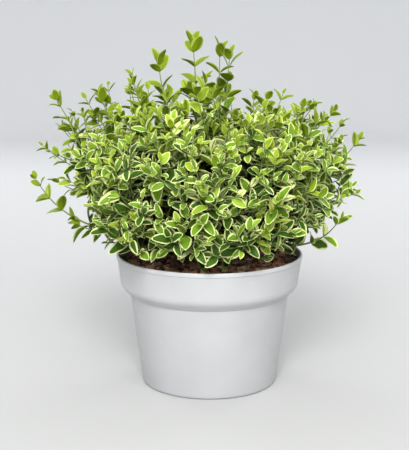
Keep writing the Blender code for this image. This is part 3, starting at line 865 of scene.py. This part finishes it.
def leaf_points(leaves, outline, seed):
    """The points of many leaves at once: folded along the midrib, arched, and finely toothed."""
    draw = np.random.default_rng(seed)
    count = len(leaves)
    root, pointing, normal = (
        np.array([tuple(leaf[key]) for leaf in leaves]) for key in ("root", "pointing", "normal")
    )
    across = np.cross(pointing, normal)
    length = np.array([leaf["length"] for leaf in leaves])
    age = np.array([AGES_AND_SHADES.index(leaf["age"]) for leaf in leaves])
    half = length * draw.uniform(*LEAF_WIDTHS, count) / 2
    fold = draw.uniform(*LEAF_FOLDS, count)
    arch = draw.uniform(*LEAF_ARCHES, count)
    twist = draw.uniform(*LEAF_TWISTS, count)
    band = np.array(LEAF_BANDS)[age] + draw.normal(0, BAND_SCATTER, count)
    band = np.where(draw.random(count) < CREAM_LEAF_SHARE, CREAM_LEAF_BAND, band)
    points = np.empty((count, 2 + ROW * (len(outline) - 2), 3))
    points[:, 0] = root - pointing * 0.0004

    def lift(share):
        return -arch * length * share**ARCH_POWER + 0.05 * length * sin(pi * share)

    points[:, 1] = root + pointing * length[:, None] + normal * lift(1.0)[:, None]
    for k, (share, breadth) in enumerate(outline[1:-1]):
        middle = root + pointing * (length * share)[:, None] + normal * lift(share)[:, None]
        turned = twist * (share - 0.1)
        side = across * np.cos(turned)[:, None] + normal * np.sin(turned)[:, None]
        rise = normal * np.cos(turned)[:, None] - across * np.sin(turned)[:, None]
        wide = half * breadth
        row = points[:, 2 + ROW * k : 2 + ROW * (k + 1)]
        depth = rise * LEAF_THICKNESS * min(1.0, breadth + 0.3)
        for edge, inner, back, sign in ((0, 1, 7, -1), (4, 3, 5, 1)):
            tooth = 1 + draw.uniform(-0.5, 1.0, count) * TOOTH * (1 if k % 2 else -1)
            uneven = np.clip(band + draw.normal(0, BAND_SCATTER, count), *BAND_LIMITS)
            green = uneven * (1 - TIP_CREAM * share)
            for place, reach in ((edge, wide * tooth), (inner, wide * green)):
                out, up = (sign * reach)[:, None], (fold * reach)[:, None]
                row[:, place] = middle + side * out + rise * up
            row[:, back] = row[:, inner] - depth * 0.8
        row[:, 2] = middle
        row[:, 6] = middle - depth
    return points


def leaf_piece(name, leaves, outline, finishes, seed):
    """One piece of many leaves, whose faces take the centre, edge or back finish of age or shade."""
    faces, parts = leaf_faces(outline)
    points = leaf_points(leaves, outline, seed)
    shift = (np.arange(len(leaves)) * points.shape[1]).tolist()
    all_faces = [tuple(corner + base for corner in face) for base in shift for face in faces]
    slots = [3 * AGES_AND_SHADES.index(leaf["age"]) + part for leaf in leaves for part in parts]
    return mesh_piece(name, points.reshape(-1, 3).tolist(), all_faces, finishes, slots)


def leaf_finishes():
    """A centre, an edge and a back for each age of leaf, and for inner and olive painted shade."""
    return [
        plain(f"{age} {part}", colour, roughness, Specular_IOR_Level=shine)
        for age, colours in LEAF_COLOURS.items()
        for colour, (part, roughness, shine) in zip(colours, LEAF_PARTS)
    ]


def tube_arrays(points, radii, sides, vertices, faces, relief):
    """Adds one closed tapering tube to the lists, with bark relief if a function gives it."""
    base = len(vertices)
    side = None
    for k, point in enumerate(points):
        radius = radii[0] + (radii[1] - radii[0]) * k / (len(points) - 1)
        after, before = points[min(k + 1, len(points) - 1)], points[max(k - 1, 0)]
        direction = (after - before).normalized()
        side = square_to(direction, side or Vector((0.3, 0.2, 1.0)))
        other = direction.cross(side)
        for n in range(sides):
            angle = 2 * pi * n / sides
            away = side * cos(angle) + other * sin(angle)
            reach = radius * (relief(point, away, k) if relief else 1.0)
            vertices.append(tuple(point + away * reach))
    for k in range(len(points) - 1):
        for n in range(sides):
            a, b = base + k * sides + n, base + k * sides + (n + 1) % sides
            faces.append((a, b, b + sides, a + sides))
    faces.append(tuple(reversed(range(base, base + sides))))
    last = base + (len(points) - 1) * sides
    faces.append(tuple(range(last, last + sides)))


def bark_relief(point, away, step):
    """How far the bark stands out: ridges, lumps, and a swelling at each old leaf scar."""
    ridges = noise.noise(away * 3.2 + point * 60)
    lumps = noise.noise(point * 260 + away * 1.1)
    scar = 0.13 if step % 8 == 4 else 0.05 if step % 8 in (3, 5) else 0.0
    return 1.0 + 0.10 * ridges + 0.07 * lumps + scar


def make_limbs(crown, finish):
    """The bare boughs, in one piece of closed limbs with bark relief."""
    vertices, faces = [], []
    for name in crown.names:
        ring = crown.limbs[name]["ring"]
        points = stretch(crown.limbs[name]["path"], 0.0003, BOUGH_LENGTH[ring] + 0.002, BOUGH_STEPS)
        radii = (BOUGH_RADIUS[ring], BOUGH_RADIUS[ring] * BOUGH_TAPER)
        tube_arrays(points, radii, BOUGH_SIDES, vertices, faces, bark_relief)
    limbs = mesh_piece("boughs", vertices, faces, [finish])
    limbs.data.shade_smooth()
    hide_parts(*[f"bough_{name}" for name in crown.names])
    return limbs


def make_stems(name, shoots, finishes):
    """The stems and twigs of one ring of limbs: grey-green below, fresh green towards the tips."""
    vertices, faces, picks = [], [], []
    for shoot in shoots:
        if shoot["needed"] == 0:
            continue
        stem = shoot["parent"] is None
        count, sides, old = STEM_FORM if stem else TWIG_FORM
        length = shoot["needed"]
        points = stretch(shoot["path"], 0.0, length, count)
        before = len(faces)
        relief = bark_relief if stem else None
        tube_arrays(points, shoot["radii"], sides, vertices, faces, relief)
        old += 0.1 * sin(length * 9000)
        for face in range(len(faces) - before):
            share = min(1.0, face / (sides * count))
            picks.append(0 if stem and share < old * 0.7 else 1 if share < old else 2)
    piece = mesh_piece(name, vertices, faces, finishes, picks)
    piece.data.shade_smooth()
    return piece


def select_only(piece):
    bpy.ops.object.select_all(action="DESELECT")
    piece.select_set(True)
    bpy.context.view_layer.objects.active = piece


def finish_piece(piece, name, finish, angle):
    """Names a piece made by hand, gives it its finish and soft edges, and settles its place."""
    select_only(piece)
    bpy.ops.object.transform_apply(location=True, rotation=True, scale=True)
    piece.name = name
    piece.data.name = name
    piece.data.materials.clear()
    piece.data.materials.append(finish)
    bpy.ops.object.shade_smooth_by_angle(angle=radians(angle))


def drawn_up(rings, sides):
    """A closed round form: a filled ring drawn from each (radius, height) to the next."""
    bpy.ops.object.select_all(action="DESELECT")
    radius, height = rings[0]
    bpy.ops.mesh.primitive_circle_add(
        vertices=sides, radius=radius, fill_type="NGON", location=(0, 0, height)
    )
    form = bpy.context.object
    bpy.ops.object.transform_apply(location=True, rotation=True, scale=True)
    bpy.ops.object.mode_set(mode="EDIT")
    bpy.ops.mesh.select_all(action="SELECT")
    for (was_radius, was_height), (radius, height) in zip(rings, rings[1:]):
        rise = {"value": (0, 0, height - was_height)}
        bpy.ops.mesh.extrude_region_move(TRANSFORM_OT_translate=rise)
        share = radius / was_radius
        bpy.ops.transform.resize(value=(share, share, 1.0), center_override=(0, 0, height))
    bpy.ops.mesh.select_all(action="SELECT")
    bpy.ops.mesh.normals_make_consistent(inside=False)
    bpy.ops.mesh.select_all(action="DESELECT")
    bpy.ops.object.mode_set(mode="OBJECT")
    return form


def apply_modifier(piece, kind, **settings):
    select_only(piece)
    modifier = piece.modifiers.new(kind.lower(), kind)
    for key, value in settings.items():
        setattr(modifier, key, value)
    bpy.ops.object.modifier_apply(modifier=modifier.name)


def pot_outside():
    """The pot's outer line from its base up to its rim, as (radius, height)."""
    widening = COLLAR_FOOT_RADIUS - BODY_TOP_RADIUS
    return [
        (BASE_RADIUS - BASE_ROUNDING, 0.0),
        (BASE_RADIUS - 0.3 * BASE_ROUNDING, 0.25 * BASE_ROUNDING),
        (BASE_RADIUS, BASE_ROUNDING),
        (BODY_TOP_RADIUS, COLLAR_FOOT_HEIGHT - COLLAR_STEP),
        (BODY_TOP_RADIUS + 0.72 * widening, COLLAR_FOOT_HEIGHT - 0.45 * COLLAR_STEP),
        (BODY_TOP_RADIUS + 0.94 * widening, COLLAR_FOOT_HEIGHT - 0.12 * COLLAR_STEP),
        (COLLAR_FOOT_RADIUS, COLLAR_FOOT_HEIGHT + 0.2 * COLLAR_STEP),
        (RIM_RADIUS - 0.0007, POT_HEIGHT - 0.0042),
        (RIM_RADIUS, POT_HEIGHT - 0.0034),
        (RIM_RADIUS, POT_HEIGHT - 0.0008),
        (RIM_RADIUS - 0.0006, POT_HEIGHT),
    ]


def pot_inside():
    """The pot's inner line from its rim down to its floor."""
    return [
        (INSIDE_RADIUS + 0.0004, POT_HEIGHT),
        (INSIDE_RADIUS, POT_HEIGHT - 0.0006),
        (INSIDE_RADIUS - 0.0004, POT_HEIGHT - 0.008),
        (COLLAR_FOOT_RADIUS - WALL, COLLAR_FOOT_HEIGHT + 0.2 * COLLAR_STEP + 0.3 * WALL),
        (BODY_TOP_RADIUS - WALL, COLLAR_FOOT_HEIGHT - COLLAR_STEP + 0.3 * WALL),
        (BASE_RADIUS - WALL, WALL + BASE_ROUNDING / 2),
        (BASE_RADIUS - WALL - BASE_ROUNDING, WALL),
    ]


def make_pot(finish):
    pot = drawn_up([*pot_outside(), *pot_inside()], POT_SIDES)
    for hole in range(DRAIN_HOLES):
        bearing = 2 * pi * (hole + 0.5) / DRAIN_HOLES
        place = round_axis(DRAIN_RING_RADIUS, bearing)
        bpy.ops.mesh.primitive_cylinder_add(
            vertices=24, radius=DRAIN_HOLE_RADIUS, depth=6 * WALL, location=place
        )
        drill = bpy.context.object
        apply_modifier(pot, "BOOLEAN", operation="DIFFERENCE", object=drill, solver="EXACT")
        bpy.data.objects.remove(drill, do_unlink=True)
    edges = {"limit_method": "ANGLE", "angle_limit": radians(BEVEL_ANGLE)}
    apply_modifier(pot, "BEVEL", width=BEVEL, segments=2, **edges)
    finish_piece(pot, "nursery_pot", finish, 40)
    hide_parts("pot")
    return pot


def make_compost(finish):
    """The compost: a filled form inside the pot, its top inset many times and then crumbled."""
    inside = [(radius - GAP, max(height, WALL + GAP)) for radius, height in pot_inside()[:2:-1]]
    soil = drawn_up([*inside, (INSIDE_RADIUS - 0.0004 - GAP, SOIL_EDGE_HEIGHT)], SOIL_SIDES)
    for face in soil.data.polygons:
        face.select = face.normal.z > 0.9 and face.center.z > SOIL_EDGE_HEIGHT - 0.001
    bpy.ops.object.mode_set(mode="EDIT")
    bpy.ops.mesh.select_mode(type="FACE")
    for _ in range(SOIL_INSETS):
        bpy.ops.mesh.inset(thickness=SOIL_INSET, depth=SOIL_INSET_RISE)
    bpy.ops.object.mode_set(mode="OBJECT")
    for vertex in soil.data.vertices:
        radius = hypot(vertex.co.x, vertex.co.y)
        if vertex.co.z > SOIL_EDGE_HEIGHT - 0.0005 and radius < INSIDE_RADIUS - 0.002:
            crumb = 0.0016 * noise.noise(vertex.co * 330) + 0.0012 * noise.noise(vertex.co * 120)
            vertex.co.z += min(CRUMB_LIMIT, crumb)
    finish_piece(soil, "compost", finish, 50)
    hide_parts("root_ball")
    return soil


def make_chips():
    """Chips of bark and straw scattered on the compost, each an uneven flat block."""
    draw = random.Random("chips")
    finishes = [plain(name, colour, roughness) for name, colour, roughness, _ in CHIP_KINDS]
    shares = [share for *_, share in CHIP_KINDS]
    corners = list(product((-1, 1), repeat=3))
    block = [(0, 1, 3, 2), (4, 6, 7, 5), (0, 4, 5, 1), (2, 3, 7, 6), (0, 2, 6, 4), (1, 5, 7, 3)]
    vertices, faces, picks = [], [], []
    for _ in range(CHIP_COUNT):
        radius = CHIP_RING_RADIUS * sqrt(draw.random())
        bearing = draw.uniform(0, 2 * pi)
        if radius < FOOT_FLARE_RADIUS + 0.003:
            continue
        size = draw.uniform(*CHIP_SIZES)
        size *= FINE_CHIP_SCALE if draw.random() < FINE_CHIP_SHARE else COARSE_CHIP_SCALE
        size = min(size, CHIP_LIMIT_RADIUS - radius)
        if size < LEAST_CHIP:
            continue
        turned = Matrix.Rotation(draw.uniform(0, 6.3), 3, "Z")
        turned = turned @ Matrix.Rotation(draw.uniform(-CHIP_TILT, CHIP_TILT), 3, "X")
        height = SOIL_EDGE_HEIGHT + CHIP_BED + draw.uniform(0.0, CHIP_HEAP)
        middle = Vector(round_axis(radius, bearing, height))
        base = len(vertices)
        for corner in corners:
            uneven = Vector([c * draw.uniform(*span) for c, span in zip(corner, CHIP_SHAPE)])
            vertices.append(tuple(middle + turned @ (uneven * size)))
        faces += [tuple(base + number for number in face) for face in block]
        picks += [draw.choices(range(len(finishes)), shares)[0]] * len(block)
    chips = mesh_piece("bark_chips", vertices, faces, finishes, picks)
    return chips


def make_foot(finish):
    """The woody foot: drawn up from the compost, rounded, and given its bark."""
    cut = SOIL_HEIGHT + GAP
    angles = [radians(angle) for angle in (-24, -8, 8, 24, 40, 56, 72)]
    head = [
        (FOOT_HEAD_RADIUS * cos(angle), FOOT_HEAD_HEIGHT + FOOT_HEAD_RADIUS * sin(angle))
        for angle in angles
    ]
    rings = [(FOOT_FLARE_RADIUS, cut), (0.82 * FOOT_FLARE_RADIUS, cut + 0.0022), *head]
    foot = drawn_up([*rings, (0.001, FOOT_HEAD_HEIGHT + FOOT_HEAD_RADIUS)], 24)
    apply_modifier(foot, "SUBSURF", levels=2, render_levels=2)
    for vertex in foot.data.vertices:
        if vertex.co.z > cut + 0.0008:
            away = Vector((vertex.co.x, vertex.co.y, 0)).normalized()
            ridge = noise.noise(away * 5 + vertex.co * 50) + 0.5 * noise.noise(vertex.co * 420)
            vertex.co += away * (0.0007 * ridge - 0.0003)
    finish_piece(foot, "woody_foot", finish, 60)
    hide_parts("foot")
    return foot


def dress_crown():
    """Boughs, twigs and leaves of the whole crown, ring by ring."""
    crown = Crown()
    limbs = make_limbs(crown, bark())
    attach(limbs, "root")
    twig_finishes = [plain(*kind) for kind in TWIG_KINDS]
    finishes = leaf_finishes()
    shoots, leaves = {ring: [] for ring in RING_ELEVATION}, []
    for name in crown.names:
        ring = crown.limbs[name]["ring"]
        chance = random.Random(f"{name} foliage")
        grown = shoots_of(crown, name)
        for shoot in grown:
            leaves += leaves_of(shoot, ring, chance)
        shoots[ring] += grown
    kept = with_room(leaves)
    for number, ring in enumerate(RING_ELEVATION):
        masses = [f"mass_{name}" for name in crown.names if crown.limbs[name]["ring"] == ring]
        own = [leaf for leaf in kept if leaf["ring"] == ring]
        cut_back(shoots[ring], own)
        # the inner leaves carry painted shade and go in a piece of their own
        outer = [leaf for leaf in own if leaf["age"] != "inner"]
        inner = [leaf for leaf in own if leaf["age"] == "inner"]
        for piece in (
            make_stems(f"{ring}_twigs", shoots[ring], twig_finishes),
            leaf_piece(f"{ring}_leaves", outer, LEAF_OUTLINE, finishes, number + 11),
            leaf_piece(f"{ring}_inner_leaves", inner, INNER_LEAF_OUTLINE, finishes, number + 21),
        ):
            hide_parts(*masses)
            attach(piece, "root")


def studio():
    """A pale floor that turns up into a pale wall, soft light, and the photographer's camera."""
    cove = [pi / 2 * step / 12 for step in range(13)]
    line = [
        (COVE, 0.0),
        *((STUDIO_RADIUS - COVE * (1 - sin(a)), COVE * (1 - cos(a))) for a in cove),
        (STUDIO_RADIUS, STUDIO_HEIGHT),
    ]
    around = [2 * pi * n / STUDIO_SIDES for n in range(STUDIO_SIDES)]
    vertices = [round_axis(radius, angle, height) for radius, height in line for angle in around]
    faces = [tuple(range(STUDIO_SIDES))]
    for k in range(len(line) - 1):
        for n in range(STUDIO_SIDES):
            a, b = k * STUDIO_SIDES + n, k * STUDIO_SIDES + (n + 1) % STUDIO_SIDES
            faces.append((a, a + STUDIO_SIDES, b + STUDIO_SIDES, b))
    sweep = mesh_piece("studio_sweep", vertices, faces, [studio_white()])
    sweep.data.shade_smooth()
    world = bpy.data.worlds.new("studio air")
    bpy.context.scene.world = world
    world.use_nodes = True
    sky = world.node_tree.nodes["Background"]
    sky.inputs["Color"].default_value = SKY_COLOUR
    sky.inputs["Strength"].default_value = SKY_STRENGTH
    for name, place, size, power in LAMPS:
        lamp = bpy.data.lights.new(name, "AREA")
        lamp.shape = "DISK"
        lamp.size = size
        lamp.energy = power
        light = bpy.data.objects.new(name, lamp)
        light.location = place
        aim = Vector((0, 0, LAMP_AIM_HEIGHT)) - Vector(place)
        light.rotation_euler = aim.to_track_quat("-Z", "Y").to_euler()
        bpy.context.scene.collection.objects.link(light)
    lens = bpy.data.cameras.new("photographer")
    lens.lens = PHOTO_LENS
    camera = bpy.data.objects.new("photographer", lens)
    camera.location = (CAMERA_SIDE, -CAMERA_DISTANCE, CAMERA_HEIGHT)
    camera.rotation_euler = (radians(90 - CAMERA_TILT), 0, 0)
    bpy.context.scene.collection.objects.link(camera)
    bpy.context.scene.camera = camera
    bpy.context.scene.view_settings.view_transform = "Standard"


def main():
    studio()
    for piece in (
        make_pot(pot_plastic()),
        make_compost(compost()),
        make_chips(),
        make_foot(bark()),
    ):
        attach(piece, "root")
    dress_crown()


main()
